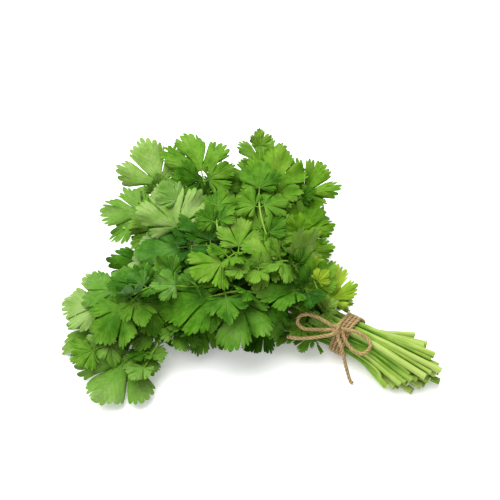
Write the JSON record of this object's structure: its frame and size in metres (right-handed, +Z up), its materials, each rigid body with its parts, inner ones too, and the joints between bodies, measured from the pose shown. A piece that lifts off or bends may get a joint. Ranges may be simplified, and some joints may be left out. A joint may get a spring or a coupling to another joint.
{
  "type": "bunch of coriander",
  "caption": "Bunch of fresh coriander lying on its side: pale green stems tied with jute twine in a bow, under a spreading mound of lobed, toothed leaves.",
  "frame": {"origin": "on the surface the bunch lies on, under the middle of its stems, leaves and tie (the bow's free ends aren't counted)", "axes": "+Z up from the surface, +X along the bunch towards the cut ends of the stems, +Y towards the back of the mound, away from the knot"},
  "size_m": [0.2724, 0.2416, 0.0655],
  "materials": {
    "stem": "smooth, lightly ribbed and slightly glossy pale green plant stem",
    "leaf": "soft green leaf with a faint waxy sheen, paler beneath",
    "twine": "dry twisted jute with loose fibres"
  },
  "bodies": {
    "root": {"stem_crest": "stem", "leaf_crest": "leaf", "stem_collar_top": "stem", "leaf_collar_top": "leaf", "stem_neck_back": "stem", "leaf_neck_back": "leaf", "stem_brow": "stem", "leaf_brow": "leaf", "stem_crown": "stem", "leaf_crown": "leaf", "stem_shoulder_top": "stem", "leaf_shoulder_top": "leaf", "stem_wing_back": "stem", "leaf_wing_back": "leaf", "stem_wing_front": "stem", "leaf_wing_front": "leaf", "stem_plume_low": "stem", "leaf_plume_low": "leaf", "stem_plume": "stem", "leaf_plume": "leaf", "stem_fork": "stem", "leaf_fork": "leaf", "stem_shoulder_back": "stem", "leaf_shoulder_back": "leaf", "stem_neck_front": "stem", "leaf_neck_front": "leaf", "stem_tip_front": "stem", "leaf_tip_front": "leaf", "stem_tip_middle": "stem", "leaf_tip_middle": "leaf", "stem_tip_pale": "stem", "leaf_tip_pale": "leaf", "stem_tip_broad": "stem", "leaf_tip_broad": "leaf", "stem_tip_back": "stem", "leaf_tip_back": "leaf", "stem_skirt_front": "stem", "leaf_skirt_front": "leaf", "stem_fringe_front": "stem", "leaf_fringe_front": "leaf", "stem_under_middle": "stem", "leaf_under_middle": "leaf", "stem_under_back": "stem", "leaf_under_back": "leaf", "stem_hem_back": "stem", "leaf_hem_back": "leaf", "stem_foot_front": "stem", "leaf_foot_front": "leaf", "stem_hem_front": "stem", "leaf_hem_front": "leaf", "stem_fringe_low": "stem", "leaf_fringe_low": "leaf", "stem_under_front": "stem", "leaf_under_front": "leaf", "twine_wrap": "twine", "twine_knot": "twine", "twine_loop_a": "twine", "twine_loop_b": "twine", "twine_tail_a": "twine", "twine_tail_b": "twine"}
  },
  "joints": []
}
